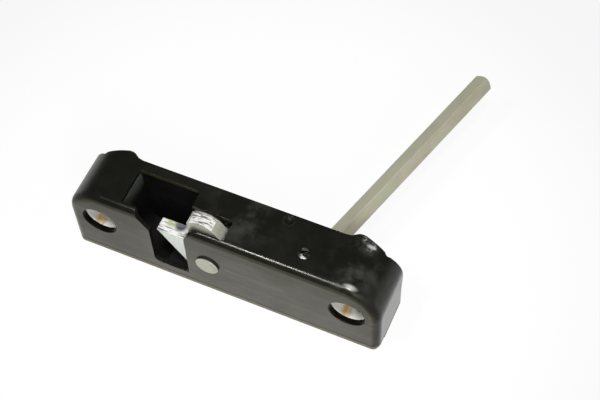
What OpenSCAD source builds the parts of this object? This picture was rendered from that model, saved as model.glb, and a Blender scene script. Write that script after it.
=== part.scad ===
// Tailgate lock: a rotary claw in a pressed steel casing, latched by a pawl on the hub of a square spindle.
// The origin is midway between the two fixing bolts, on the plane the lock is bolted against.
// X runs along the casing, Y from the front plate towards the back, Z up.
// Places below are measured from the casing: X from its middle, Y from its front face, Z from its lower edge.

/* [Casing] */
// Length of the casing
casing_l = 143; // [141:0.5:150]
// Height of the casing
casing_h = 41; // [40.5:0.1:44]
// Depth of the casing from front face to rim
casing_d = 25.3; // [25:0.1:28]
// Thickness of the casing sheet
sheet_t = 2; // [1.6:0.1:2.2]
// Radius of the upper corners, seen from the front
corner_r = 16.7; // [14:0.1:18]
// Outer radius of the bend between front plate and wall
bend_r = 3.6; // [2.6:0.1:4]
// Rise of the upper ears above the rim
ear_rise = 2.4; // [1:0.1:3]
// Length of an upper ear's flat top
ear_flat = 1.6; // [1:0.1:6]
// Distance of an upper ear's middle from the casing's end
ear_end = 18.2; // [17:0.1:19]
// Length of the slope up to an upper ear
ear_run = 6; // [4:0.1:8]
// Rise of the ears at the top of the end walls
side_ear_rise = 0.8; // [0.4:0.1:2]
// Depth of the notch between the ears
notch_depth = 1.4; // [0.6:0.1:1.8]
// How far round the corner that notch lies, in degrees from the top
notch_angle = 38; // [34:0.5:42]
// Snip at the lower front corners
corner_snip = 1.6; // [0.5:0.1:3]

/* [Striker mouth] */
// Left edge of the mouth in the front plate
mouth_left = -32.4; // [-34:0.1:-32]
// Right edge of the mouth in the front plate
mouth_right = -15.9; // [-17:0.1:-15.5]
// Bottom of the mouth in the front plate
mouth_bottom = 7; // [6.5:0.1:9]
// Radius of the mouth's lower left corner
mouth_corner_r = 3.2; // [1:0.1:5]
// Height at which the mouth starts to widen
mouth_flare_z = 31.4; // [28:0.1:34]
// How far the mouth widens to the left at the top
mouth_flare = 6.2; // [3:0.1:8]
// Radius of the front plate's corner beside the mouth
mouth_round_r = 7.5; // [1:0.1:9]
// Left edge of the mouth in the top wall, from the casing's left end
throat_end = 25.8; // [25.5:0.1:27.5]
// Right edge of the deep part of the mouth in the top wall
throat_right = -17.3; // [-20:0.1:-17]
// Back edge of the mouth in the top wall
throat_back = 20.6; // [18:0.1:20.8]
// Corner radius of the openings in the top wall
throat_corner_r = 1.5; // [0.5:0.1:3]
// Thickness of the guide channel in the mouth
guide_t = 1.6; // [1.2:0.1:1.8]
// Inner radius of the channel's bend
guide_bend_r = 8; // [4:0.5:12]
// Upper face of the channel's floor
guide_floor = 3.4; // [3:0.1:3.8]
// Right end of the channel's floor
guide_right = -14; // [-15:0.1:-13]

/* [Fixings] */
// Distance of a fixing bolt from the casing's end
fixing_end = 14.5; // [14:0.1:14.8]
// Height of the fixing bolts above the lower edge
fixing_z = 23.3; // [22:0.1:25]
// Radius of the fixing holes in the front plate
fixing_hole_r = 7.9; // [7:0.1:8]
// Depth of the collar drawn in round a fixing hole
collar_depth = 2.7; // [2.5:0.1:6]
// Wall of that collar
collar_t = 1.6; // [1.4:0.1:2]
// Rounding at the collar's entry
collar_round = 0.5; // [0.4:0.1:1.3]
// Radius of the bolt hole in a ferrule
bolt_r = 4.25; // [3:0.05:4.5]
// Wall of a ferrule
ferrule_t = 0.9; // [0.6:0.1:1]
// Floor of a ferrule
ferrule_floor = 3; // [2:0.1:5]

/* [Back plate] */
// Thickness of the back plate
back_t = 2; // [1.5:0.1:2.2]
// How far the back plate lies inside the rim
back_inset = 2.1; // [2:0.1:2.8]
// Gap round the back plate
back_gap = 0.1; // [0.05:0.05:0.3]
// Where the staking dimple lies along the top wall
stake_x = 22.6; // [18:0.1:24]
// Radius of the staking punch
stake_r = 3; // [2:0.1:4]
// Depth of the staking dimple
stake_depth = 0.8; // [0.4:0.1:1.2]

/* [Claw] */
// Claw pivot along the casing
pivot_x = -6; // [-6.4:0.1:-5.6]
// Claw pivot above the lower edge
pivot_z = 20.9; // [20.5:0.1:21.2]
// Outer radius of the claw at crown and jaw
claw_r = 26; // [25:0.1:26.6]
// Radius of the claw's body round its pivot
claw_body_r = 17; // [16.5:0.1:17.2]
// Thickness of the claw
claw_t = 6.2; // [5:0.1:7]
// Height of the jaw's upper edge above the pivot
jaw_top = 9.1; // [8:0.1:10]
// Distance of the jaw's underside from the pivot
jaw_under = 15.2; // [14:0.1:15.4]
// Slope of the jaw's underside when the claw is open, and the claw's turn to closed
claw_throw = 56.5; // [54:0.5:58]
// Distance of the step beside the crown from the pivot
crown_left = 8.8; // [8:0.1:10]
// Distance of the crown's other flank from the pivot
crown_right = 6.6; // [6:0.1:6.8]
// Length of the crown's eased flank
crown_ease = 8; // [3:0.1:8.5]
// Bevel at the crown's other end
crown_bevel = 1.2; // [0.5:0.1:2]
// Radius in the root of the claw's notch
notch_r = 3.5; // [1:0.1:5]
// Radius of the rivet's shoulder that the claw turns on
pivot_r = 5; // [4:0.1:5.5]
// Radius of the rivet where it passes through the plates
shank_r = 3.5; // [2.5:0.1:3.8]
// Radius of the rivet's front head
rivet_head_r = 5.2; // [4.6:0.1:6]
// Height of the rivet's front head
rivet_head_h = 1.1; // [0.6:0.1:2]
// Thickness of the washer in front of the claw
washer_t = 0.8; // [0.5:0.1:1]
// Radius of that washer
washer_r = 8; // [7:0.1:9]
// Radius of the sleeve behind the claw
spacer_r = 6.4; // [6:0.1:6.6]
// Back edge of the slot for the crown
slot_back = 12.9; // [12:0.1:14]
// Clearance of the slot before the claw
slot_gap = 0.4; // [0.3:0.1:0.6]
// Clearance of the slot at the crown's flank
slot_end_gap = 1; // [0.4:0.1:2]

/* [Pawl and hub] */
// Hub axis from the casing's right end
hub_end = 37.2; // [36.5:0.1:37.5]
// Hub axis below the top of the casing
hub_drop = 14.5; // [14.2:0.1:14.8]
// Distance of the pawl's nose from the claw pivot, along the casing
nose_from_pivot = 13.2; // [12.9:0.1:13.8]
// Rise of the nose's lower corner above the level, riding on the claw
nose_low = 6.8; // [6.4:0.1:7.2]
// Angle that the nose spans
nose_span = 10.7; // [9:0.1:11.2]
// Length of the nose's straight flanks
nose_l = 0.8; // [0.4:0.1:1.5]
// Thickness of the pawl
pawl_t = 4; // [3:0.1:4.5]
// Radius of the pawl's eye
pawl_eye_r = 11.5; // [10.8:0.1:11.8]
// Radius of the hub's spigot in the pawl
spigot_r = 8; // [7:0.1:8.5]
// Radius of the hub's collar
collar_r = 10.5; // [10.2:0.1:11]
// Metal of the hub's collar behind the cross pin
collar_wall = 0.5; // [0.3:0.1:1]
// Radius of the hub's journal
journal_r = 9.2; // [9:0.05:9.5]
// Length of the hub's journal
journal_l = 6.5; // [5:0.1:7]
// Wall of the bush round the journal
bush_t = 1.45; // [1:0.05:1.6]
// Radius of the bush's flange
bush_flange_r = 12.1; // [11.5:0.1:12.3]
// Thickness of the bush's flange
bush_flange_t = 2; // [1:0.1:3]
// Thickness of the washer between hub and bush
thrust_t = 0.8; // [0.4:0.1:1]

/* [Spindle] */
// Side of the square spindle
spindle_w = 6.35; // [6:0.05:6.4]
// Length of the spindle from its cross pin
spindle_l = 125.5; // [60:0.5:160]
// Rounding of the spindle's edges
spindle_edge_r = 0.45; // [0.2:0.05:1]
// Chamfer at the spindle's free end
spindle_chamfer = 0.9; // [0.3:0.1:1.5]
// Sideways lean of the spindle as it lies
spindle_lean = 16.3; // [0:0.1:16.5]
// Turn of the square about the spindle's own axis
spindle_roll = 27; // [0:1:45]
// Largest lean that the hub leaves room for
lean_limit = 17.3; // [16.8:0.1:17.5]
// Cross pin behind the front face
pin_y = 10.2; // [10:0.1:10.6]
// Radius of the cross pin
pin_r = 2; // [1.5:0.05:2.2]
// Radius of the access hole above the cross pin
access_r = 2.55; // [2.3:0.05:3]
// Radius of the spindle's barrel round the cross pin
barrel_r = 4.2; // [3.8:0.05:4.3]

/* [Springs and stops] */
// Wire radius of the claw spring
claw_wire_r = 0.9; // [0.6:0.05:1]
// Coil radius of the claw spring, to the wire's middle
claw_coil_r = 7.9; // [7.8:0.1:8.2]
// Room before and behind the claw spring's coil
coil_room = 0.4; // [0.3:0.1:0.8]
// Distance of the claw spring's leg from the pivot
claw_leg_r = 12.5; // [11.5:0.1:12.8]
// Wire radius of the pawl spring
pawl_wire_r = 0.4; // [0.3:0.05:0.5]
// Coil radius of the pawl spring, to the wire's middle
pawl_coil_r = 2.1; // [2.05:0.05:2.4]
// Radius of the peg and the post that hold the pawl spring
peg_r = 1.6; // [1.2:0.05:1.65]
// Distance of the pawl's peg from the hub axis, towards the claw
peg_back = 14; // [13.6:0.1:14.4]
// Height of the pawl's peg above the hub axis
peg_rise = 2.5; // [2:0.1:3]
// Axis of the pawl spring behind the pawl
pawl_spring_gap = 3.5; // [3:0.1:4]
// Height of the pawl spring's post above the lower edge
pawl_post_z = 6.5; // [6:0.1:7.5]
// Length of the pawl spring's hooks, to the pins they hang on
pawl_hook_l = 6; // [5:0.1:6.5]
// Radius of the post for the claw spring
post_r = 2; // [1.5:0.1:2.5]
// Height of the rubber buffer's upper face
buffer_top = 5.4; // [5:0.1:5.5]

/* [Fits] */
// Radial clearance of turning fits
running_gap = 0.05; // [0.02:0.01:0.1]
// Radial clearance of pressed and riveted pieces
press_gap = 0.02; // [0.01:0.01:0.03]
// Clearance beside turning pieces
side_gap = 0.1; // [0.05:0.01:0.2]
// Clearance between claw and pawl
latch_gap = 0.3; // [0.2:0.05:0.4]

/* [Hidden] */
$fn = 96;
mount_y = casing_d + ear_rise;
ear_x = casing_l / 2 - ear_end;
fixing_spacing = casing_l - 2 * fixing_end;
hub_x = casing_l / 2 - hub_end;
hub_z = casing_h - hub_drop;
throat_left = throat_end - casing_l / 2;
pawl_reach = hub_x - pivot_x - nose_from_pivot;
collar_back = pin_y + pin_r + collar_wall;
back_y = casing_d - back_inset - back_t;
roof_z = casing_h - sheet_t;
claw_y = sheet_t + washer_t + side_gap;
claw_back = claw_y + claw_t;
slot_front = claw_y - slot_gap;
claw_top = roof_z - pivot_z;
body_reach = sqrt(max(0, pow(claw_body_r + latch_gap, 2) - claw_top * claw_top));
slot_right = pivot_x + max(crown_right, body_reach) + slot_end_gap;
pawl_y = claw_y;
pawl_back = pawl_y + pawl_t;
seat_r = pawl_reach + latch_gap;
bush_r = journal_r + running_gap + bush_t;
bush_y = collar_back + thrust_t + side_gap;
ferrule_r = fixing_hole_r + ferrule_t;
nose_high = nose_low + nose_span;
slot_half = barrel_r + latch_gap;
peg_x = hub_x - peg_back;
peg_z = hub_z + peg_rise;
pawl_spring_y = pawl_back + pawl_spring_gap;
claw_coil_y = claw_back + claw_wire_r + coil_room;
claw_coil_turns = 3;
claw_leg_angle = 20;
claw_post_angle = 300;
steel_black = [0.08, 0.08, 0.075];
zinc = [0.78, 0.79, 0.77];
zinc_yellow = [0.72, 0.68, 0.5];
spring_steel = [0.5, 0.5, 0.5];
bronze = [0.65, 0.5, 0.25];
rubber_black = [0.05, 0.05, 0.05];

// Moves a piece from casing places to the origin at the fixings
module from_fixings() {
    translate([0, -mount_y, -fixing_z])
        children();
}

// Extrudes an outline drawn in X and Z between two depths
module between_y(y0, y1) {
    translate([0, y1, 0])
        rotate([90, 0, 0])
            linear_extrude(y1 - y0)
                children();
}

// Round bar along Y between two depths
module rod_y(r, y0, y1) {
    between_y(y0, y1)
        circle(r);
}

// Outline with a flat foot and two rounded upper corners
module arch(length, foot, top, r) {
    translate([-length / 2, foot])
        square([length, top - r - foot]);
    translate([-length / 2 + r, top - r - 1])
        square([length - 2 * r, r + 1]);
    for (side = [-1, 1])
        translate([side * (length / 2 - r), top - r])
            circle(r);
}

// Rectangle with round corners
module soft_rectangle(x0, y0, x1, y1, r) {
    translate([x0 + r, y0])
        square([x1 - x0 - 2 * r, y1 - y0]);
    translate([x0, y0 + r])
        square([x1 - x0, y1 - y0 - 2 * r]);
    for (x = [x0 + r, x1 - r], y = [y0 + r, y1 - r])
        translate([x, y])
            circle(r);
}

// Direction vectors and frames along a wire's path, then the swept wire itself
function unit(v) = v / norm(v);
function tangent(path, i) = unit(path[min(i + 1, len(path) - 1)] - path[max(i - 1, 0)]);
function carried(n, t) = unit(n - t * (n * t));

module wire(path, r, start_normal, sides = 8) {
    count = len(path);
    normals = [for (i = 0, n = carried(start_normal, tangent(path, 0)); i < count;
                    i = i + 1, n = i < count ? carried(n, tangent(path, i)) : n) n];
    rings = [for (i = [0 : count - 1], k = [0 : sides - 1])
        path[i] + r * (cos(360 * k / sides) * normals[i]
            + sin(360 * k / sides) * cross(tangent(path, i), normals[i]))];
    skin = [for (i = [0 : count - 2], k = [0 : sides - 1])
        let (next = (k + 1) % sides)
        [i * sides + k, (i + 1) * sides + k, (i + 1) * sides + next, i * sides + next]];
    caps = [[for (k = [0 : sides - 1]) k],
        [for (k = [sides - 1 : -1 : 0]) (count - 1) * sides + k]];
    polyhedron(rings, concat(skin, caps));
}

// Section through the wall and its bend, outwards from the corner's centre and back from the front face
module wall_section(depth) {
    square([corner_r - bend_r, sheet_t]);
    translate([corner_r - sheet_t, bend_r])
        square([sheet_t, depth - bend_r]);
    translate([corner_r - bend_r, bend_r])
        difference() {
            intersection() {
                circle(bend_r);
                translate([0, -bend_r])
                    square(bend_r);
            }
            circle(bend_r - sheet_t);
        }
}

// The pressing before its openings are cut, with its wall at one depth all round
module casing_blank(depth) {
    flat_l = casing_l - 2 * corner_r;
    side_h = casing_h - corner_r;
    translate([-flat_l / 2, 0, 0])
        cube([flat_l, sheet_t, side_h]);
    translate([flat_l / 2, 0, side_h])
        rotate([0, -90, 0])
            linear_extrude(flat_l)
                wall_section(depth);
    for (side = [0, 1])
        mirror([side, 0, 0])
            translate([flat_l / 2, 0, 0]) {
                linear_extrude(side_h)
                    wall_section(depth);
                translate([0, 0, side_h])
                    rotate([-90, 0, 0])
                        rotate([0, 0, -90])
                            rotate_extrude(angle = 90)
                                wall_section(depth);
            }
}

// What is trimmed off the wall behind the rim, leaving an ear each side of a notch round both corners
module rim_trim() {
    foot = casing_h - corner_r;
    notch_x = casing_l / 2 - corner_r + corner_r * sin(notch_angle);
    notch_z = foot + corner_r * cos(notch_angle);
    inner = ear_x - ear_flat / 2;
    outer = ear_x + ear_flat / 2;
    behind = mount_y + 1;
    floor_y = casing_d - notch_depth;
    over = [[0, casing_d], [inner - ear_run, casing_d],
        [inner - 0.6 * ear_run, casing_d + 0.2 * ear_rise],
        [inner - 0.37 * ear_run, casing_d + 0.6 * ear_rise],
        [inner - 0.17 * ear_run, casing_d + 0.9 * ear_rise], [inner, mount_y], [outer, mount_y],
        [outer + 0.22 * ear_run, casing_d + 0.81 * ear_rise],
        [notch_x - 1.07 * notch_depth, casing_d - 0.3 * notch_depth],
        [notch_x - 0.57 * notch_depth, casing_d - 0.8 * notch_depth],
        [notch_x, floor_y], [notch_x + 0.5 * notch_depth, casing_d - 0.8 * notch_depth],
        [notch_x + notch_depth, behind], [0, behind]];
    down = [[notch_z + 0.4 * notch_depth, behind],
        [notch_z - 0.15 * notch_depth, casing_d - 0.9 * notch_depth],
        [notch_z - 0.6 * notch_depth, casing_d - 0.68 * notch_depth],
        [foot + 0.575 * corner_r, casing_d - 0.36 * notch_depth],
        [foot + 0.21 * corner_r, casing_d + 0.3 * side_ear_rise],
        [foot - 0.11 * corner_r, casing_d + side_ear_rise],
        [foot - 0.24 * corner_r, casing_d + side_ear_rise],
        [foot - 0.72 * corner_r, casing_d], [-1, casing_d], [-1, behind]];
    for (side = [0, 1])
        mirror([side, 0, 0]) {
            translate([0, 0, foot + 0.45 * corner_r])
                linear_extrude(corner_r)
                    polygon(over);
            translate([casing_l / 2 + 1, 0, 0])
                rotate([0, -90, 0])
                    linear_extrude(casing_l / 2 + 1 - notch_x + 0.6 * sheet_t)
                        polygon(down);
        }
}

// The striker's way in through the front plate
module mouth_front() {
    between_y(-1, bend_r) {
        polygon([[mouth_left + mouth_corner_r, mouth_bottom], [mouth_right, mouth_bottom],
            [mouth_right, casing_h + 1], [mouth_left - mouth_flare, casing_h + 1],
            [mouth_left - mouth_flare, casing_h - 1], [mouth_left, mouth_flare_z],
            [mouth_left, mouth_bottom + mouth_corner_r]]);
        translate([mouth_left + mouth_corner_r, mouth_bottom + mouth_corner_r])
            circle(mouth_corner_r);
        translate([mouth_right, casing_h - mouth_round_r])
            difference() {
                translate([-1, 0])
                    square([mouth_round_r + 1, mouth_round_r + 1]);
                translate([mouth_round_r, 0])
                    circle(mouth_round_r);
            }
    }
}

// The striker's way in through the top wall, with the slot that the claw's crown stands out of
module mouth_top() {
    translate([0, 0, casing_h - bend_r - 0.5])
        linear_extrude(bend_r + 1.5) {
            soft_rectangle(throat_left, bend_r, throat_right, throat_back, throat_corner_r);
            translate([throat_left, bend_r])
                square([throat_right - throat_left, 2 * throat_corner_r]);
            soft_rectangle(throat_right - 4, slot_front, slot_right, slot_back, throat_corner_r);
        }
}

// Collar drawn in round a fixing hole, with a rounded entry
module drawn_collar() {
    rotate([-90, 0, 0])
        rotate_extrude() {
            translate([fixing_hole_r, collar_round])
                square([collar_t, collar_depth - collar_round]);
            translate([fixing_hole_r + collar_round, collar_round])
                intersection() {
                    circle(collar_round);
                    translate([-collar_round, -collar_round])
                        square(collar_round);
                }
        }
}

module casing() {
    color(steel_black) from_fixings() {
        difference() {
            casing_blank(mount_y);
            rim_trim();
            mouth_front();
            mouth_top();
            for (side = [-1, 1]) {
                translate([side * fixing_spacing / 2, 0, fixing_z])
                    rod_y(fixing_hole_r + collar_round, -1, sheet_t + 1);
                translate([side * casing_l / 2, 0, 0])
                    rotate([0, 45, 0])
                        cube([corner_snip * sqrt(2), 4 * bend_r, corner_snip * sqrt(2)], center = true);
            }
            translate([pivot_x, 0, pivot_z])
                rod_y(shank_r, -1, sheet_t + 1);
            translate([hub_x, pin_y, roof_z - 1])
                cylinder(r = access_r, h = sheet_t + 2);
            translate([stake_x, back_y + back_t / 2, casing_h + stake_r - stake_depth])
                sphere(stake_r);
        }
        for (side = [-1, 1])
            translate([side * fixing_spacing / 2, 0, fixing_z])
                drawn_collar();
    }
}

module back_plate() {
    guide_hole = guide_t + 2 * press_gap;
    color(steel_black) from_fixings()
        between_y(back_y, back_y + back_t)
            difference() {
                arch(casing_l - 2 * (sheet_t + back_gap), 1, roof_z - back_gap, corner_r - sheet_t);
                for (side = [-1, 1])
                    translate([side * fixing_spacing / 2, fixing_z])
                        circle(ferrule_r + press_gap);
                translate([hub_x, hub_z])
                    circle(bush_r + press_gap);
                translate([pivot_x, pivot_z])
                    circle(shank_r + press_gap);
                translate([peg_x, pawl_post_z])
                    circle(peg_r + press_gap);
                claw_post_place()
                    circle(post_r + press_gap);
                for (z = guide_tabs())
                    translate([throat_left - guide_t - press_gap, z - press_gap])
                        square([guide_hole, guide_tab_h() + 2 * press_gap]);
            }
}

// Two tabs of the guide channel are staked in the back plate
function guide_tab_h() = 6;
function guide_tabs() = [guide_floor + guide_bend_r + 2, roof_z - 3 - guide_tab_h()];

// Channel down the left of the mouth that bends into a floor under it
module throat_guide() {
    bend_z = guide_floor + guide_bend_r;
    bend_x = throat_left + guide_bend_r;
    color(steel_black) from_fixings() {
        between_y(bend_r, back_y) {
            translate([throat_left - guide_t, bend_z])
                square([guide_t, roof_z - bend_z]);
            translate([bend_x, guide_floor - guide_t])
                square([guide_right - bend_x, guide_t]);
            translate([bend_x, bend_z])
                intersection() {
                    difference() {
                        circle(guide_bend_r + guide_t);
                        circle(guide_bend_r);
                    }
                    translate([-guide_bend_r - guide_t, -guide_bend_r - guide_t])
                        square(guide_bend_r + guide_t);
                }
        }
        for (z = guide_tabs())
            translate([throat_left - guide_t, back_y - 1, z])
                cube([guide_t, back_t + 1, guide_tab_h()]);
    }
}

module fixing_ferrule(side) {
    color(zinc_yellow) from_fixings()
        translate([side * fixing_spacing / 2, 0, fixing_z])
            difference() {
                rod_y(ferrule_r, collar_depth, mount_y);
                rod_y(fixing_hole_r, collar_depth - 1, mount_y - ferrule_floor);
                rod_y(bolt_r, mount_y - ferrule_floor - 1, mount_y + 1);
            }
}

module fixing_ferrule_left() {
    fixing_ferrule(-1);
}

module fixing_ferrule_right() {
    fixing_ferrule(1);
}

// Outline of the claw about its pivot, as it stands open
module claw_outline() {
    hub_from_pivot = [hub_x - pivot_x, hub_z - pivot_z];
    difference() {
        union() {
            circle(claw_body_r);
            intersection() {
                circle(claw_r);
                polygon([[0, 0], [crown_right, claw_body_r - 1], [crown_right, claw_r - crown_ease],
                    [crown_right - 0.06 * crown_ease, claw_r - 0.83 * crown_ease],
                    [crown_right - 0.29 * crown_ease, claw_r - 0.43 * crown_ease],
                    [crown_right - 0.5 * crown_ease, claw_r - 0.2 * crown_ease],
                    [crown_right - 0.85 * crown_ease, claw_r + 0.1], [-claw_r, claw_r + 1],
                    [-claw_r - 1, -claw_r]]);
            }
        }
        // Notch for the striker
        translate([-crown_left - claw_r, jaw_top + notch_r])
            square([claw_r, claw_r]);
        translate([-crown_left - notch_r - claw_r, jaw_top])
            square([claw_r, claw_r]);
        translate([-crown_left - notch_r, jaw_top + notch_r])
            circle(notch_r);
        // Bevel between the crown and the notch
        translate([-crown_left, sqrt(claw_r * claw_r - crown_left * crown_left)])
            rotate(60)
                square(crown_bevel * sqrt(2), center = true);
        // Straight underside of the jaw
        rotate(-claw_throw)
            translate([-2 * claw_r, -jaw_under - claw_r])
                square([4 * claw_r, claw_r]);
        // Seats for the pawl's nose, closed and open
        for (turn = [-claw_throw, 0])
            rotate(turn)
                translate(hub_from_pivot)
                    circle(seat_r);
        circle(pivot_r + running_gap);
    }
}

module claw() {
    color(zinc) from_fixings()
        translate([pivot_x, 0, pivot_z])
            difference() {
                between_y(claw_y, claw_back)
                    claw_outline();
                rotate([0, claw_leg_angle, 0])
                    translate([-claw_leg_r, 0, 0])
                        rod_y(claw_wire_r + latch_gap, claw_back - 4, claw_back + 1);
            }
}

module claw_pivot() {
    color(zinc) from_fixings()
        translate([pivot_x, 0, pivot_z])
            rotate([-90, 0, 0])
                rotate_extrude()
                    polygon([[0, -rivet_head_h], [rivet_head_r - 0.3, -rivet_head_h],
                        [rivet_head_r, 0.3 - rivet_head_h], [rivet_head_r, 0],
                        [shank_r - press_gap, 0], [shank_r - press_gap, sheet_t],
                        [pivot_r, sheet_t], [pivot_r, back_y],
                        [shank_r, back_y], [shank_r, back_y + back_t],
                        [pivot_r, back_y + back_t], [pivot_r - 1, back_y + back_t + 1],
                        [0, back_y + back_t + 1]]);
}

module claw_washer() {
    color(zinc) from_fixings()
        translate([pivot_x, 0, pivot_z])
            difference() {
                rod_y(washer_r, sheet_t, sheet_t + washer_t);
                rod_y(pivot_r + running_gap, sheet_t - 1, sheet_t + washer_t + 1);
            }
}

module claw_spacer() {
    color(zinc) from_fixings()
        translate([pivot_x, 0, pivot_z])
            difference() {
                rod_y(spacer_r, claw_back + side_gap, back_y);
                rod_y(pivot_r + press_gap, claw_back, back_y + 1);
            }
}

// The post that the claw spring's fixed leg bears on
module claw_post_place() {
    translate([pivot_x + claw_leg_r * cos(claw_post_angle), pivot_z + claw_leg_r * sin(claw_post_angle)])
        children();
}

function round_pivot(r, angle, y) = [pivot_x + r * cos(angle), y, pivot_z + r * sin(angle)];

module claw_spring() {
    first = 180 - claw_leg_angle;
    leg_side = asin((post_r + claw_wire_r + press_gap) / claw_leg_r);
    last = claw_post_angle - leg_side;
    turn = 360 * claw_coil_turns + last - first;
    steps = 66;
    coil_l = back_y - claw_wire_r - coil_room - claw_coil_y;
    coil = [for (i = [0 : steps])
        round_pivot(claw_coil_r, first + turn * i / steps, claw_coil_y + coil_l * i / steps)];
    hook = [round_pivot(claw_leg_r, first, claw_back - 3), round_pivot(claw_leg_r, first, claw_back + 1),
        round_pivot(claw_leg_r - 1, first, claw_coil_y)];
    tail = [round_pivot(claw_coil_r + 1, last, claw_coil_y + coil_l),
        round_pivot(claw_leg_r + 2, last, claw_coil_y + coil_l)];
    color(spring_steel) from_fixings()
        wire(concat(hook, coil, tail), claw_wire_r, [0, 0, 1]);
}

module claw_spring_post() {
    color(zinc) from_fixings()
        translate(round_pivot(claw_leg_r, claw_post_angle, 0))
            rod_y(post_r, claw_coil_y + 2, back_y + back_t);
}

module claw_buffer() {
    left = mouth_left + 4;
    color(rubber_black) from_fixings()
        between_y(claw_y, back_y)
            soft_rectangle(left, guide_floor, mouth_right - 1, buffer_top, 0.8);
}

// Outline of the pawl about the hub axis, its nose riding just clear of the claw
module pawl_outline() {
    low = 180 - nose_low;
    high = 180 - nose_high;
    far = pawl_reach + 4;
    neck = pawl_reach - nose_l;
    root = 0.85 * pawl_eye_r;
    difference() {
        union() {
            circle(pawl_eye_r);
            intersection() {
                circle(pawl_reach);
                polygon([far * [cos(low), sin(low)], far * [cos(high), sin(high)],
                    neck * [cos(high), sin(high)], root * [cos(110), sin(110)],
                    root * [cos(235), sin(235)], neck * [cos(low), sin(low)]]);
            }
        }
        circle(spigot_r + press_gap);
        translate([peg_x - hub_x, peg_z - hub_z])
            circle(peg_r + press_gap);
    }
}

module pawl() {
    color(zinc) from_fixings()
        translate([hub_x, 0, hub_z])
            between_y(pawl_y, pawl_back)
                pawl_outline();
}

module pawl_peg() {
    color(zinc) from_fixings()
        translate([peg_x, 0, peg_z])
            rod_y(peg_r, pawl_y, pawl_spring_y + 2);
}

module pawl_spring_post() {
    color(zinc) from_fixings()
        translate([peg_x, 0, pawl_post_z])
            rod_y(peg_r, pawl_spring_y - 2, back_y + back_t);
}

module pawl_spring() {
    loop_steps = 14;
    turns = 12;
    steps = 12 * turns;
    low = pawl_post_z + pawl_hook_l;
    high = peg_z - pawl_hook_l;
    upper = [for (i = [0 : loop_steps])
        let (a = -60 + 330 * i / loop_steps)
        [peg_x + pawl_coil_r * cos(a), pawl_spring_y, peg_z + pawl_coil_r * sin(a)]];
    coil = [for (i = [0 : steps])
        let (a = -90 + 360 * turns * i / steps)
        [peg_x + pawl_coil_r * cos(a), pawl_spring_y + pawl_coil_r * sin(a),
            high + (low - high) * i / steps]];
    lower = [for (i = [0 : loop_steps])
        let (a = 90 - 330 * i / loop_steps)
        [peg_x + pawl_coil_r * cos(a), pawl_spring_y, pawl_post_z + pawl_coil_r * sin(a)]];
    color(spring_steel) from_fixings()
        wire(concat(upper, coil, lower), pawl_wire_r, [0, 1, 0], 6);
}

// Room for the spindle's barrel and for its sideways swing
module swing_room() {
    back = collar_back + journal_l + 1;
    half = slot_half / cos(lean_limit) + (back - pin_y) * tan(lean_limit);
    translate([0, 0, -slot_half])
        linear_extrude(2 * slot_half) {
            translate([0, pin_y])
                circle(slot_half);
            polygon([[-slot_half, pin_y], [slot_half, pin_y], [half, back], [-half, back]]);
        }
}

module hub() {
    color(zinc) from_fixings()
        translate([hub_x, 0, hub_z])
            difference() {
                union() {
                    rod_y(spigot_r, pawl_y, pawl_back);
                    rod_y(collar_r, pawl_back, collar_back);
                    rod_y(journal_r, collar_back, collar_back + journal_l);
                }
                swing_room();
                translate([0, pin_y, -collar_r - 1])
                    cylinder(r = pin_r + press_gap, h = 2 * collar_r + 2);
            }
}

module hub_bush() {
    color(bronze) from_fixings()
        translate([hub_x, 0, hub_z])
            difference() {
                union() {
                    rod_y(bush_r, bush_y, back_y + back_t);
                    rod_y(bush_flange_r, back_y - bush_flange_t, back_y);
                }
                rod_y(journal_r + running_gap, bush_y - 1, back_y + back_t + 1);
            }
}

module thrust_washer() {
    color(bronze) from_fixings()
        translate([hub_x, 0, hub_z])
            difference() {
                rod_y(bush_r, collar_back + side_gap, collar_back + side_gap + thrust_t);
                rod_y(journal_r + running_gap, collar_back, collar_back + thrust_t + 1);
            }
}

module cross_pin() {
    half = collar_r - 1;
    color(zinc) from_fixings()
        translate([hub_x, pin_y, hub_z - half])
            cylinder(r = pin_r, h = 2 * half);
}

// Square section of the spindle with eased edges
module spindle_section() {
    half = spindle_w / 2;
    soft_rectangle(-half, -half, half, half, spindle_edge_r);
}

module spindle() {
    tip_r = spindle_w / sqrt(2);
    color(zinc) from_fixings()
        translate([hub_x, pin_y, hub_z])
            rotate([0, 0, -spindle_lean])
                difference() {
                    union() {
                        translate([0, 0, -barrel_r])
                            cylinder(r = barrel_r, h = 2 * barrel_r);
                        rotate([-90, 0, 0])
                            intersection() {
                                rotate(-spindle_roll)
                                    linear_extrude(spindle_l)
                                        spindle_section();
                                rotate_extrude()
                                    polygon([[0, -1], [tip_r, -1], [tip_r, spindle_l - spindle_chamfer],
                                        [tip_r - 2 * spindle_chamfer, spindle_l], [0, spindle_l]]);
                            }
                    }
                    translate([0, 0, -barrel_r - 1])
                        cylinder(r = pin_r + running_gap, h = 2 * barrel_r + 2);
                }
}

casing();
back_plate();
throat_guide();
fixing_ferrule_left();
fixing_ferrule_right();
claw();
claw_pivot();
claw_washer();
claw_spacer();
claw_spring();
claw_spring_post();
claw_buffer();
pawl();
pawl_peg();
pawl_spring();
pawl_spring_post();
hub();
hub_bush();
thrust_washer();
cross_pin();
spindle();
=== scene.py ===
"""Looks of the tailgate lock: finishes, table, studio light and the photo's camera, in metres."""

import math

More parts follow.
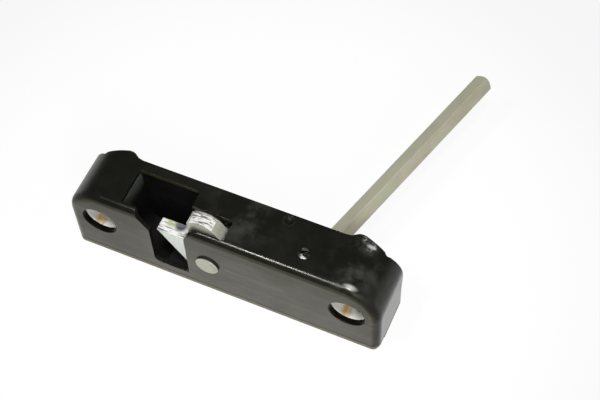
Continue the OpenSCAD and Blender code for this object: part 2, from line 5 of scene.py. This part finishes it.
import bpy
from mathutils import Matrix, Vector


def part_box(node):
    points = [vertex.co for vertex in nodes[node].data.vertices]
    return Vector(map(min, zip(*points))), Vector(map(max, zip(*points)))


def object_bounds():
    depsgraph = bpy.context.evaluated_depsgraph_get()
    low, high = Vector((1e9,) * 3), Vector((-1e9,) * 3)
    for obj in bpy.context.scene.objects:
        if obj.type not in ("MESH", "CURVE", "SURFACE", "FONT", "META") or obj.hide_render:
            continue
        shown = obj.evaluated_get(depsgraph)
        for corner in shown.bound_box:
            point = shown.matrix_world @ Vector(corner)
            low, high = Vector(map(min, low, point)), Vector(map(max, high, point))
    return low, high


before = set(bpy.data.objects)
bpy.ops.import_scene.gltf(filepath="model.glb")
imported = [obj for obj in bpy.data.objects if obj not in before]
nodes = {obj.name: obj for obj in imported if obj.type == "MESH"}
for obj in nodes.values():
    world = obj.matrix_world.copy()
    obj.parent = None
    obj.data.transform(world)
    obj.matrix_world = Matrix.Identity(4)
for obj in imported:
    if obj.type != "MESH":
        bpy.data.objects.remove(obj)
first_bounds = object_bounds()
table_z = first_bounds[0].z

# The casing's front, top and right end, the middle of its right fixing hole, the back plate's outer face
casing_low, casing_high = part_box("casing")
front_y = casing_low.y
top_z = casing_high.z
end_x = casing_high.x
cup_low, cup_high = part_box("fixing_ferrule_right")
cup_x = (cup_low.x + cup_high.x) / 2.0
back_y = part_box("back_plate")[1].y

ALONG_X = (1.0, 0.0, 0.0)
ALONG_Y = (0.0, 1.0, 0.0)
ALONG_Z = (0.0, 0.0, 1.0)

# Fineness per metre, along X, Y and Z, of the lines in sheet steel drawn along X
DRAWN_LINES = (12, 900, 1300)


class Finish:
    """A node material being put together. Its patterns lie in object space, in metres."""

    def __init__(self, name, kind=bpy.data.materials):
        self.material = kind.new(name)
        self.material.use_nodes = True
        self.tree = self.material.node_tree
        self.tree.nodes.clear()
        coordinates = self.add("ShaderNodeTexCoord").outputs
        self.place = coordinates["Object"]
        self.own_normal = coordinates["Normal"]
        axes = self.add("ShaderNodeSeparateXYZ")
        self.feed(axes.inputs[0], self.place)
        self.x, self.y, self.z = axes.outputs
        self.normal = self.add("ShaderNodeNewGeometry").outputs["Normal"]

    def add(self, kind, **settings):
        node = self.tree.nodes.new(kind)
        for key, value in settings.items():
            setattr(node, key, value)
        return node

    def feed(self, socket, value):
        """Links value to socket, or sets it there where it is a constant."""
        if isinstance(value, bpy.types.NodeSocket):
            self.tree.links.new(value, socket)
        elif hasattr(value, "__len__") and socket.type == "RGBA":
            socket.default_value = (*value, 1.0)
        else:
            socket.default_value = value

    def math(self, operation, first, second=0.0):
        node = self.add("ShaderNodeMath", operation=operation)
        self.feed(node.inputs[0], first)
        self.feed(node.inputs[1], second)
        return node.outputs[0]

    def plus(self, total, *others):
        for other in others:
            total = self.math("ADD", total, other)
        return total

    def minus(self, first, second):
        return self.math("SUBTRACT", first, second)

    def times(self, product, *others):
        for other in others:
            product = self.math("MULTIPLY", product, other)
        return product

    def vector(self, operation, first, second):
        """One step of vector arithmetic. Its outputs hold a Vector and a Value."""
        node = self.add("ShaderNodeVectorMath", operation=operation)
        self.feed(node.inputs[0], first)
        self.feed(node.inputs[1], second)
        return node.outputs

    def noise(self, per_metre, detail=3.0, roughness=0.5, offset=(0.0, 0.0, 0.0)):
        """Noise with its own fineness along X, Y and Z."""
        mapping = self.add("ShaderNodeMapping")
        self.feed(mapping.inputs["Vector"], self.place)
        self.feed(mapping.inputs["Scale"], per_metre)
        self.feed(mapping.inputs["Location"], offset)
        noise = self.add("ShaderNodeTexNoise")
        self.feed(noise.inputs["Vector"], mapping.outputs[0])
        self.feed(noise.inputs["Scale"], 1.0)
        self.feed(noise.inputs["Detail"], detail)
        self.feed(noise.inputs["Roughness"], roughness)
        return noise.outputs["Fac"]

    def ramp(self, value, low, high, to_low=0.0, to_high=1.0):
        """Takes low..high smoothly to to_low..to_high."""
        node = self.add("ShaderNodeMapRange", interpolation_type="SMOOTHSTEP")
        for socket, given in zip(node.inputs, (value, low, high, to_low, to_high)):
            self.feed(socket, given)
        return node.outputs[0]

    def mix(self, share, first, second):
        """Colour first, with that share of colour second over it."""
        node = self.add("ShaderNodeMix", data_type="RGBA")
        self.feed(node.inputs["Factor"], share)
        self.feed(node.inputs[6], first)
        self.feed(node.inputs[7], second)
        return node.outputs[2]

    def layers(self, colour, *coats):
        """Colour with coats over it in turn, each a share and a colour."""
        for share, coat in coats:
            colour = self.mix(share, colour, coat)
        return colour

    def facing(self, axis):
        """How squarely the surface faces along an axis, 0 to 1."""
        return self.math("ABSOLUTE", self.vector("DOT_PRODUCT", self.normal, axis)["Value"])

    def edges(self, radius):
        """Softened normal at the edges, and how near an edge a point is."""
        bevel = self.add("ShaderNodeBevel", samples=6)
        self.feed(bevel.inputs["Radius"], radius)
        turn = self.vector("DOT_PRODUCT", bevel.outputs[0], self.normal)["Value"]
        return bevel.outputs[0], self.ramp(turn, 0.995, 0.85)

    def spot(self, centre, inner, outer, squeeze=(1.0, 1.0, 1.0)):
        """1 near a place, fading to 0 from inner to outer radius, and longer along a squeezed axis."""
        away = self.vector("SUBTRACT", self.place, centre)["Vector"]
        squeezed = self.vector("MULTIPLY", away, squeeze)["Vector"]
        length = self.add("ShaderNodeVectorMath", operation="LENGTH")
        self.feed(length.inputs[0], squeezed)
        return self.ramp(length.outputs["Value"], outer, inner)

    def seen(self):
        """1 for what the camera sees, straight, reflected or through a surface."""
        rays = self.add("ShaderNodeLightPath").outputs
        share = self.plus(rays["Is Camera Ray"], rays["Is Glossy Ray"], rays["Is Transmission Ray"])
        return self.math("MINIMUM", share, 1.0)

    def bump(self, height, depth, normal):
        node = self.add("ShaderNodeBump")
        self.feed(node.inputs["Height"], height)
        self.feed(node.inputs["Distance"], depth)
        self.feed(node.inputs["Normal"], normal)
        return node.outputs[0]

    def surface(self, **given):
        """The finished material, from what is given for the shader's sockets."""
        shader = self.add("ShaderNodeBsdfPrincipled")
        for key, value in given.items():
            self.feed(shader.inputs[key.replace("_", " ")], value)
        output = self.add("ShaderNodeOutputMaterial")
        self.feed(output.inputs["Surface"], shader.outputs[0])
        return self.material


def on_top(x, behind, sunk=0.0):
    """A place on the casing's top wall, so far behind the front and so far below the surface."""
    return (x, front_y + behind, top_z - sunk)


class BlackPaint(Finish):
    """Semi-gloss stoved paint over pressed steel, worn by handling, with painted highlights and sheen, and
    a painted reflection along its lower edge.
    """

    # Where the back plate is staked to the top wall
    DIMPLE = {"x": 0.0222, "behind": 0.0221}
    # The drawn collars of the fixing holes, with the depth of their middle behind the front
    COLLAR_DEPTH = 0.0020
    COLLAR_RADIUS = 0.0081
    # X at which the duller paint of an end begins, and at which it is full
    END_BEGINS = end_x - 0.0175
    END_WHOLE = end_x - 0.0075
    # X at which the front begins to darken left of the mouth, and at which it is darkest
    LEFT_BEGINS = -0.026
    LEFT_DARKEST = -0.042

    def __init__(self):
        super().__init__("black_paint")
        self.soft, self.edge = self.edges(0.0003)
        self.cloud = self.noise((70, 70, 70), 5.0, 0.65)
        self.streak = self.noise(DRAWN_LINES, 3.0, 0.6)
        self.patchy = self.noise((38, 60, 60), 4.0, 0.6, (1.0, 5.0, 2.0))
        self.speck = self.noise((2600, 2600, 2600), 2.0, 0.5)
        self.scuff = self.noise((480, 480, 480), 4.0, 0.65, (2.0, 3.0, 4.0))
        squarely = self.facing(ALONG_Y)
        self.front = self.ramp(squarely, 0.8, 0.98)
        self.ahead = self.ramp(squarely, 0.2, 0.6)
        self.front_bend = self.minus(self.ahead, self.front)
        self.sideways = self.ramp(self.facing(ALONG_X), 0.05, 0.3)
        self.handled = self.smudges()
        self.dimple = self.spot(on_top(**self.DIMPLE, sunk=0.0005), 0.0020, 0.0026)
        self.collars = self.plus(self.collar(cup_x), self.collar(-cup_x))
        # Along the lower edge: a tan band, painted reflection of the table, with a dark line above it.
        ragged = self.times(self.noise((300, 300, 60), 4.0, 0.65), 0.0016)
        height = self.minus(self.z, ragged)
        self.painted_edge_reflection = self.ramp(height, table_z + 0.0016, table_z + 0.0010)
        self.lower_dark_line = self.times(self.ramp(height, table_z + 0.0024, table_z + 0.0019), self.front)

    def collar(self, x):
        """The shaded bore of the drawn collar at a fixing hole."""
        centre = (x, front_y + self.COLLAR_DEPTH, 0.0)
        return self.spot(centre, self.COLLAR_RADIUS, self.COLLAR_RADIUS + 0.0003)

    def smudges(self):
        """Dull marks of hands behind the crown and above the right fixing hole."""
        behind_crown = self.spot(on_top(0.004, 0.0167, -0.0003), 0.004, 0.020)
        right = self.spot(on_top(end_x - 0.0155, 0.0107, -0.0003), 0.004, 0.018)
        return self.times(self.plus(behind_crown, right), self.ramp(self.cloud, 0.4, 0.66))

    def wear_and_painted_glint(self):
        """Painted highlights: glints on the right ear, the bend beside it and the front corner, laid on as
        paint worn through to the steel.
        """
        ear = self.spot(on_top(end_x - 0.0162, 0.0263), 0.0004, 0.0026)
        bend = self.spot(on_top(end_x - 0.0133, 0.0237, 0.0003), 0.0004, 0.0030)
        painted_glint_patches = self.times(self.plus(ear, bend), self.ramp(self.scuff, 0.42, 0.66, 0.04, 0.9))
        painted_corner_glint = self.spot(on_top(end_x - 0.0142, 0.0034, 0.0003), 0.0, 0.0016, (0.38, 1.0, 0.6))
        painted_bend_glint = self.spot(on_top(end_x - 0.0134, 0.0237, 0.0003), 0.0, 0.0014, (0.5, 1.0, 0.6))
        painted_glint_cores = self.times(self.plus(painted_corner_glint, painted_bend_glint), self.ramp(self.scuff, 0.3, 0.6, 0.8, 1.0))
        return self.math("MINIMUM", self.plus(painted_glint_patches, painted_glint_cores), 1.0)

    def painted_ear_sheen(self):
        """Painted sheen: faint grey round the glints on the right ear."""
        around = self.spot(on_top(end_x - 0.0150, 0.0235, 0.0003), 0.0012, 0.0062)
        return self.times(around, self.ramp(self.scuff, 0.3, 0.7, 0.0, 0.14))

    def painted_dimple_rim_light(self):
        """Painted highlight: a pale ring round the staking dimple, where its raised rim catches the light,
        broken up by scuff noise.
        """
        raised = self.minus(self.spot(on_top(**self.DIMPLE), 0.0025, 0.0029), self.dimple)
        return self.times(raised, self.ramp(self.scuff, 0.4, 0.6, 0.1, 0.6))

    def scratches(self):
        """A few scratches and specks on the front, in patches."""
        long = self.ramp(self.noise((90, 90, 1700), 1.0, 0.5, (8.0, 2.0, 5.0)), 0.68, 0.74)
        short = self.ramp(self.speck, 0.70, 0.75)
        return self.times(self.plus(long, short), self.front, self.ramp(self.patchy, 0.52, 0.66, 0.0, 0.35))

    def colour(self):
        """The ground colour, with each mark laid over those before it."""
        black = (0.0075, 0.0075, 0.006)
        faded = (0.0115, 0.0115, 0.0095)
        # Painted sheen on the front: a lighter olive-brown, for part of the grey and the warm tone the
        # front shows by reflection.
        painted_sheen_olive = (0.033, 0.0325, 0.013)
        painted_sheen_brown = (0.041, 0.034, 0.016)
        # Grey of the hand smudges, used also for the painted highlight on the dimple's rim.
        smudge_and_painted_rim_light = (0.030, 0.030, 0.028)
        painted_sheen_grey = (0.30, 0.30, 0.29)
        # Steel grey for the painted highlights at the right end.
        steel = (0.62, 0.62, 0.60)
        drawn_line = (0.040, 0.038, 0.026)
        scratch = (0.20, 0.19, 0.13)
        dark_line_black = (0.004, 0.004, 0.003)
        painted_reflection_tan = (0.20, 0.18, 0.12)
        worn_edge = (0.12, 0.12, 0.11)
        bore = (0.003, 0.003, 0.0025)
        return self.layers(
            self.mix(self.ramp(self.cloud, 0.35, 0.7), black, faded),
            (self.handled, smudge_and_painted_rim_light),
            # Painted sheen round the right ear.
            (self.painted_ear_sheen(), painted_sheen_grey),
            # Painted highlights at the right end, laid on as paint worn through to the steel.
            (self.times(self.wear_and_painted_glint(), 0.8), steel),
            # Painted highlight on the dimple's rim.
            (self.painted_dimple_rim_light(), smudge_and_painted_rim_light),
            (self.times(self.front, self.ramp(self.streak, 0.4, 0.7)), drawn_line),
            # Painted sheen: the front faces only, in olive-brown.
            (self.times(self.front, 0.75), self.mix(self.ramp(self.patchy, 0.4, 0.6), painted_sheen_olive, painted_sheen_brown)),
            (self.scratches(), scratch),
            # The dark line and, below it, the painted tan reflection along the lower edge.
            (self.lower_dark_line, dark_line_black),
            (self.times(self.painted_edge_reflection, 0.9), painted_reflection_tan),
            (self.times(self.edge, self.ramp(self.speck, 0.54, 0.66, 0.0, 0.5)), worn_edge),
            (self.collars, bore))

    def shine(self):
        """Uneven gloss, lower towards the ends and the top of the front, in the dimple and in the holes."""
        tint = self.noise((22, 260, 420), 5.0, 0.62, (3.0, 0.0, 0.0))
        dulled = self.plus(
            self.times(self.front, self.ramp(self.z, -0.008, 0.014, 0.0, 0.2)),
            self.times(self.ahead, self.ramp(self.x, end_x - 0.0215, end_x - 0.0055, 0.0, 0.34)),
            self.times(self.ahead, self.ramp(self.x, self.LEFT_BEGINS, self.LEFT_DARKEST, 0.0, 0.32)),
            self.times(self.front_bend, self.ramp(self.x, self.LEFT_BEGINS, self.LEFT_DARKEST, 0.0, 0.34)),
            self.times(self.sideways, self.ramp(self.x, self.END_BEGINS, self.END_WHOLE, 0.0, 0.42)),
            self.times(self.dimple, 0.7))
        return self.times(
            self.ramp(tint, 0.34, 0.66, 0.36, 0.55),
            self.ramp(self.patchy, 0.35, 0.65, 0.82, 1.13),
            self.ramp(self.cloud, 0.35, 0.65, 0.9, 1.1),
            self.math("MAXIMUM", self.minus(1.0, dulled), 0.1),
            self.ramp(self.lower_dark_line, 0.0, 1.0, 1.0, 0.4),
            self.minus(1.0, self.times(self.collars, 0.8)))

    def roughness(self):
        """Rougher where it is handled, on the painted tan reflection along the lower edge, in the dimple,
        and on the bends.
        """
        end_bends = self.times(
            self.sideways,
            self.ramp(self.facing(ALONG_Z), 0.05, 0.3),
            self.ramp(self.math("ABSOLUTE", self.x), self.END_BEGINS, self.END_WHOLE))
        return self.plus(
            self.times(self.handled, 0.3),
            self.times(self.painted_edge_reflection, 0.35),
            self.times(self.dimple, 0.25),
            self.times(end_bends, 0.14),
            self.times(self.front_bend, 0.05),
            self.ramp(self.cloud, 0.4, 0.75, 0.17, 0.24))

    def painted(self):
        """The whole finish, with fine drawn lines on the front and a light orange peel all over."""
        lines = self.bump(self.times(self.streak, self.front), 0.000006, self.soft)
        peel = self.noise((420, 420, 420), 2.0, 0.5)
        return self.surface(
            Base_Color=self.colour(), Roughness=self.roughness(), IOR=1.5,
            Specular_IOR_Level=self.shine(), Specular_Tint=(1.0, 0.99, 0.87),
            Normal=self.bump(peel, 0.000008, lines))


def inner_painted_shade():
    """Painted shade inside the casing, as a darker and duller copy of the black paint, with painted light,
    greenish, high on the throat's side wall; the ordinary black paint on the outer face.
    """
    painted_shade_deep = (0.003, 0.003, 0.003)
    painted_shade_pale = (0.0055, 0.0055, 0.005)
    painted_light_green = (0.085, 0.095, 0.08)
    black = (0.012, 0.012, 0.010)
    faded = (0.022, 0.022, 0.019)
    drawn_line = (0.040, 0.038, 0.030)
    worn_edge = (0.03, 0.03, 0.028)
    plate = Finish("inner_painted_shade")
    soft, edge = plate.edges(0.0003)
    cloud = plate.noise((160, 160, 160), 4.0, 0.6)
    drawn = plate.noise(DRAWN_LINES, 3.0, 0.6)
    rise = plate.plus(plate.z, plate.times(cloud, 0.006))
    lit = plate.times(plate.ramp(rise, 0.006, 0.02), plate.ramp(plate.facing(ALONG_X), 0.5, 0.9))
    outside = plate.ramp(plate.y, back_y - 0.0009, back_y - 0.0002)
    painted = plate.layers(
        plate.mix(plate.ramp(cloud, 0.35, 0.7), black, faded),
        (plate.ramp(drawn, 0.45, 0.75, 0.0, 0.6), drawn_line))
    # Painted shade in two depths of black, painted light on the throat's wall, the ordinary paint outside,
    # then worn edges.
    colour = plate.layers(
        plate.mix(plate.ramp(cloud, 0.3, 0.7), painted_shade_deep, painted_shade_pale),
        (lit, painted_light_green),
        (outside, painted),
        (plate.times(edge, 0.3), worn_edge))
    rough = plate.minus(plate.ramp(cloud, 0.3, 0.7, 0.55, 0.7), plate.times(outside, 0.28))
    return plate.surface(
        Base_Color=colour, Roughness=rough,
        Specular_IOR_Level=plate.ramp(outside, 0.0, 1.0, 0.12, 0.5),
        Normal=plate.bump(cloud, 0.00005, soft))


def bright_zinc():
    """Clear zinc plate on a blanked steel claw: brushed faces, sheared edges with bright and torn bands,
    and a painted reflection darkening the crown's faces.
    """
    jaw_stain = (-0.0256, -0.0196, 0.0067)
    jaw_tear = (-0.0212, -0.0199, 0.0067)
    zinc = Finish("bright_zinc")
    soft, edge = zinc.edges(0.0006)
    brushed = zinc.noise((1300, 120, 150), 3.0, 0.6)
    bands = zinc.noise((110, 1000, 110), 4.0, 0.62)
    fleck = zinc.noise((420, 700, 420), 3.0, 0.6, (4.0, 1.0, 2.0))
    score = zinc.noise((170, 1150, 170), 4.0, 0.62, (5.0, 2.0, 1.0))
    face = zinc.ramp(zinc.facing(ALONG_Y), 0.5, 0.9)
    crown = zinc.ramp(zinc.z, top_z - 0.0032, top_z - 0.0007)
    flank = zinc.times(crown, zinc.ramp(zinc.facing(ALONG_X), 0.58, 0.70))
    stained = zinc.times(zinc.spot(jaw_stain, 0.0010, 0.0031), zinc.ramp(fleck, 0.36, 0.52))
    torn = zinc.times(zinc.spot(jaw_tear, 0.0012, 0.0036), zinc.ramp(bands, 0.34, 0.5))
    plain = zinc.layers(
        zinc.mix(zinc.ramp(brushed, 0.3, 0.7), (0.58, 0.62, 0.58), (0.74, 0.77, 0.72)),
        # Painted reflection: the crown's flat faces darker beige, where they mirror the casing's dark bend.
        (crown, (0.40, 0.40, 0.32)))
    cut = zinc.layers(
        zinc.mix(zinc.ramp(bands, 0.42, 0.52), (0.20, 0.20, 0.19), (0.93, 0.92, 0.89)),
        (zinc.ramp(fleck, 0.58, 0.7, 0.0, 0.7), (0.45, 0.44, 0.40)),
        (stained, (0.50, 0.55, 0.27)),
        (torn, (0.07, 0.08, 0.11)),
        (zinc.times(crown, 0.12), (0.46, 0.46, 0.43)),
        (zinc.times(crown, zinc.ramp(score, 0.525, 0.59, 0.0, 0.85)), (0.04, 0.04, 0.04)),
        (zinc.times(flank, 0.92), (0.42, 0.42, 0.33)))
    colour = zinc.layers(cut, (face, plain), (zinc.times(edge, 0.35), (0.85, 0.85, 0.82)))
    rough = zinc.minus(zinc.ramp(bands, 0.3, 0.7, 0.5, 0.4), zinc.times(face, 0.14))
    grain = zinc.plus(zinc.times(brushed, 0.3), bands)
    return zinc.surface(
        Base_Color=colour, Metallic=zinc.ramp(face, 0.0, 1.0, 0.2, 0.95), Roughness=rough,
        Normal=zinc.bump(grain, 0.00008, soft))


def dull_zinc():
    """Grey-beige zinc on drawn bar: faintly passivated, its left face paler as painted light, and bright
    along its edges near the casing, as wear with a painted highlight.
    """
    left_of_bar = (-0.956, 0.294, 0.0)
    zinc = Finish("dull_zinc")
    soft, edge = zinc.edges(0.0005)
    grain = zinc.noise((1600, 200, 1600), 3.0, 0.6)
    cloud = zinc.noise((130, 60, 130), 3.0, 0.55)
    hue = zinc.noise((70, 40, 70), 2.0, 0.5, (2.0, 4.0, 6.0))
    left = zinc.vector("DOT_PRODUCT", zinc.own_normal, left_of_bar)["Value"]
    near_casing = zinc.ramp(zinc.y, 0.075, 0.045, 0.15, 1.0)
    wear_and_painted_glint = zinc.times(zinc.ramp(cloud, 0.42, 0.56, 0.05, 0.9), near_casing)
    colour = zinc.layers(
        zinc.mix(zinc.ramp(cloud, 0.3, 0.7), (0.43, 0.415, 0.295), (0.51, 0.495, 0.375)),
        (zinc.ramp(hue, 0.46, 0.7, 0.0, 0.45), (0.50, 0.43, 0.34)),
        (zinc.ramp(hue, 0.44, 0.3, 0.0, 0.4), (0.45, 0.49, 0.33)),
        # Painted light: the left face paler.
        (zinc.ramp(left, 0.2, 0.6, 0.0, 0.6), (0.60, 0.59, 0.46)),
        # Edges brightened near the casing: wear, with a painted highlight along the ridge.
        (zinc.times(edge, wear_and_painted_glint), (0.82, 0.82, 0.76)))
    return zinc.surface(
        Base_Color=colour, Metallic=0.3, Roughness=zinc.ramp(grain, 0.3, 0.7, 0.5, 0.64),
        Normal=zinc.bump(grain, 0.00003, soft))


def cup_zinc():
    """Pale zinc inside the fixing cups, with a painted ochre reflection streaked down each floor."""
    left_streak_x = -cup_x - 0.0028
    right_streak_x = cup_x - 0.0020
    zinc = Finish("yellow_zinc")
    soft, edge = zinc.edges(0.0003)
    marks = zinc.noise((300, 1800, 300), 3.0, 0.6)
    cloud = zinc.noise((260, 120, 260), 3.0, 0.6)
    from_left = zinc.math("ABSOLUTE", zinc.minus(zinc.x, left_streak_x))
    from_right = zinc.math("ABSOLUTE", zinc.minus(zinc.x, right_streak_x))
    waver = zinc.plus(zinc.math("MINIMUM", from_left, from_right), zinc.times(cloud, 0.0012))
    painted_streak = zinc.ramp(waver, 0.0034, 0.0018)
    threads = zinc.ramp(zinc.noise((1100, 20, 60), 2.0, 0.5), 0.4, 0.62, 0.6, 1.0)
    colour = zinc.layers(
        zinc.mix(zinc.ramp(cloud, 0.3, 0.7), (0.80, 0.80, 0.76), (0.92, 0.92, 0.89)),
        # Painted reflection: the ochre streak down each cup's floor.
        (zinc.times(painted_streak, threads), (0.62, 0.42, 0.16)),
        (zinc.times(edge, 0.5), (0.94, 0.94, 0.9)))
    return zinc.surface(
        Base_Color=colour, Metallic=0.25, Roughness=zinc.ramp(marks, 0.3, 0.7, 0.34, 0.5),
        Normal=zinc.bump(marks, 0.00003, soft))


def plated(name, pale, deep, stain, metallic=0.8, rough_low=0.3, rough_high=0.45, painted_shade=None):
    """Plated or bare metal with clouds, turning marks, worn edges, and painted shade where that function
    puts it.
    """
    metal = Finish(name)
    soft, edge = metal.edges(0.0003)
    cloud = metal.noise((160, 160, 160), 3.0, 0.55)
    marks = metal.noise((500, 1900, 500), 3.0, 0.6)
    spots = metal.noise((330, 90, 330), 2.0, 0.5, (1.0, 7.0, 3.0))
    colour = metal.layers(
        metal.mix(metal.ramp(cloud, 0.3, 0.7), deep, pale),
        (metal.ramp(spots, 0.52, 0.68, 0.0, 0.7), stain),
        (metal.times(edge, 0.4), pale))
    rough = metal.ramp(marks, 0.3, 0.7, rough_low, rough_high)
    # Painted shade: near black, rougher and less metallic where the given function puts it.
    if painted_shade:
        share = painted_shade(metal)
        colour = metal.mix(share, colour, (0.006, 0.006, 0.005))
        rough = metal.plus(rough, metal.times(share, 0.2))
        metallic = metal.minus(metallic, metal.times(share, metallic))
    return metal.surface(
        Base_Color=colour, Metallic=metallic, Roughness=rough,
        Normal=metal.bump(marks, 0.00003, soft))


def painted_hole_shade(metal):
    """Painted shade over the hub's top and the pin behind the middle of the access hole."""
    slanted = metal.plus(metal.y, metal.times(metal.x, 0.4))
    behind = metal.ramp(slanted, -0.0031, -0.0027)
    return metal.times(behind, metal.ramp(metal.z, 0.006, 0.009))


def painted_head_shade(metal):
    """Painted shade: black on the side of the rivet's head, where it mirrors the dark room above."""
    return metal.ramp(metal.facing(ALONG_Y), 0.6, 0.4)


def black_rubber():
    """Matt rubber with a faint bloom."""
    rubber = Finish("black_rubber")
    soft, edge = rubber.edges(0.0004)
    grain = rubber.noise((1500, 1500, 1500), 3.0, 0.6)
    bloom = rubber.noise((90, 90, 90), 3.0, 0.5)
    colour = rubber.layers(
        rubber.mix(rubber.ramp(bloom, 0.4, 0.7), (0.004, 0.004, 0.004), (0.008, 0.008, 0.0075)),
        (rubber.times(edge, 0.4), (0.015, 0.015, 0.014)))
    return rubber.surface(
        Base_Color=colour, Roughness=rubber.ramp(grain, 0.3, 0.7, 0.6, 0.8), Specular_IOR_Level=0.15,
        Normal=rubber.bump(grain, 0.00008, soft))


shade = inner_painted_shade()
cups = cup_zinc()
part_zinc = plated(
    "zinc_plate", pale=(0.78, 0.79, 0.78), deep=(0.58, 0.59, 0.57), stain=(0.50, 0.50, 0.40),
    painted_shade=painted_hole_shade)
# Painted light: the pin's zinc near white and hardly metallic, for the light it catches through the access
# hole.
pin_zinc_painted_light = plated(
    "pin_zinc_painted_light", pale=(0.97, 0.97, 0.95), deep=(0.92, 0.92, 0.90), stain=(0.85, 0.85, 0.82),
    metallic=0.05, rough_low=0.4, rough_high=0.55, painted_shade=painted_hole_shade)
rivet_zinc = plated(
    "rivet_zinc", pale=(0.52, 0.52, 0.43), deep=(0.44, 0.44, 0.35), stain=(0.34, 0.34, 0.26),
    metallic=0.3, rough_low=0.4, rough_high=0.55, painted_shade=painted_head_shade)
wire_steel = plated(
    "spring_steel", pale=(0.34, 0.34, 0.36), deep=(0.22, 0.22, 0.24), stain=(0.16, 0.14, 0.10),
    metallic=0.9, rough_low=0.25, rough_high=0.4)
bearing_bronze = plated(
    "bronze", pale=(0.62, 0.42, 0.20), deep=(0.48, 0.31, 0.13), stain=(0.30, 0.19, 0.08),
    metallic=0.9, painted_shade=painted_hole_shade)

FINISHES = {
    "casing": BlackPaint().painted(),
    "back_plate": shade,
    "throat_guide": shade,
    "claw": bright_zinc(),
    "claw_pivot": rivet_zinc,
    "spindle": dull_zinc(),
    "cross_pin": pin_zinc_painted_light,
    "fixing_ferrule_left": cups,
    "fixing_ferrule_right": cups,
    "claw_spring": wire_steel,
    "pawl_spring": wire_steel,
    "hub_bush": bearing_bronze,
    "thrust_washer": bearing_bronze,
    "claw_buffer": black_rubber(),
}

for name, node in nodes.items():
    node.data.materials.clear()
    node.data.materials.append(FINISHES.get(name, part_zinc))


def table():
    """White table that takes the lock's shadow, with a painted pool of light: its own colour greys from
    0.11 m to 0.2 m out. The camera and glossy surfaces see it near white.
    """
    paper = Finish("white_table")
    fibre = paper.noise((300, 300, 300), 3.0, 0.5)
    painted_light_pool = paper.spot((0.0, 0.0, 0.0), 0.11, 0.2)
    white = paper.mix(fibre, (0.90, 0.90, 0.90), (0.94, 0.94, 0.94))
    diffuse = paper.add("ShaderNodeBsdfDiffuse")
    # Painted pool of light: white near the lock, grey farther out.
    paper.feed(diffuse.inputs["Color"], paper.mix(painted_light_pool, (0.25, 0.25, 0.25), white))
    glow = paper.add("ShaderNodeEmission")
    paper.feed(glow.inputs["Color"], (1.0, 1.0, 1.0))
    blend = paper.add("ShaderNodeMixShader")
    paper.feed(blend.inputs[0], paper.times(paper.seen(), 0.9))
    paper.feed(blend.inputs[1], diffuse.outputs[0])
    paper.feed(blend.inputs[2], glow.outputs[0])
    output = paper.add("ShaderNodeOutputMaterial")
    paper.feed(output.inputs["Surface"], blend.outputs[0])
    bpy.ops.mesh.primitive_plane_add(size=60.0, location=(0.0, 0.0, table_z))
    plane = bpy.context.object
    plane.name = "table"
    plane.data.materials.append(paper.material)


def dark_room():
    """Dim surroundings with a pale band at the horizon that carries on the table's white."""
    room = Finish("room", bpy.data.worlds)
    horizon = room.times(room.ramp(room.z, 0.06, 0.02), room.seen())
    back = room.add("ShaderNodeBackground")
    room.feed(back.inputs["Color"], room.mix(horizon, (0.05, 0.05, 0.048), (0.9, 0.9, 0.9)))
    output = room.add("ShaderNodeOutputWorld")
    room.feed(output.inputs["Surface"], back.outputs[0])
    bpy.context.scene.world = room.material


def lamp(name, place, aim, size, power):
    """A rectangular soft lamp at a place, turned to its aim."""
    data = bpy.data.lights.new(name, "AREA")
    data.shape = "RECTANGLE"
    data.size, data.size_y = size
    data.energy = power
    light = bpy.data.objects.new(name, data)
    light.location = place
    light.rotation_euler = (Vector(aim) - Vector(place)).to_track_quat("-Z", "Y").to_euler()
    bpy.context.scene.collection.objects.link(light)


def camera():
    """The photo's camera, found from the casing's edges and holes."""
    data = bpy.data.cameras.new("camera")
    data.sensor_width = 36.0
    data.lens = 80.435
    data.clip_start = 0.01
    view = bpy.data.objects.new("camera", data)
    view.location = (0.15295, -0.25903, 0.48655)
    view.rotation_euler = [math.radians(angle) for angle in (32.1172, 1.5772, 23.7655)]
    bpy.context.scene.collection.objects.link(view)
    bpy.context.scene.camera = view


table()
dark_room()
lamp("key", place=(0.45, -0.55, 0.50), aim=(0.0, -0.01, 0.0), size=(0.35, 0.35), power=3.2)
lamp("strip", place=(-0.195, -0.26, 0.74), aim=(0.0, -0.02, 0.0), size=(0.06, 0.09), power=1.7)
lamp("strip_end", place=(-0.125, -0.26, 0.74), aim=(0.0, -0.02, 0.0), size=(0.06, 0.09), power=0.25)
lamp("overhead", place=(0.12, -0.18, 0.78), aim=(0.05, -0.02, 0.0), size=(0.14, 0.14), power=3.9)
camera()
bpy.context.scene.view_settings.view_transform = "Standard"
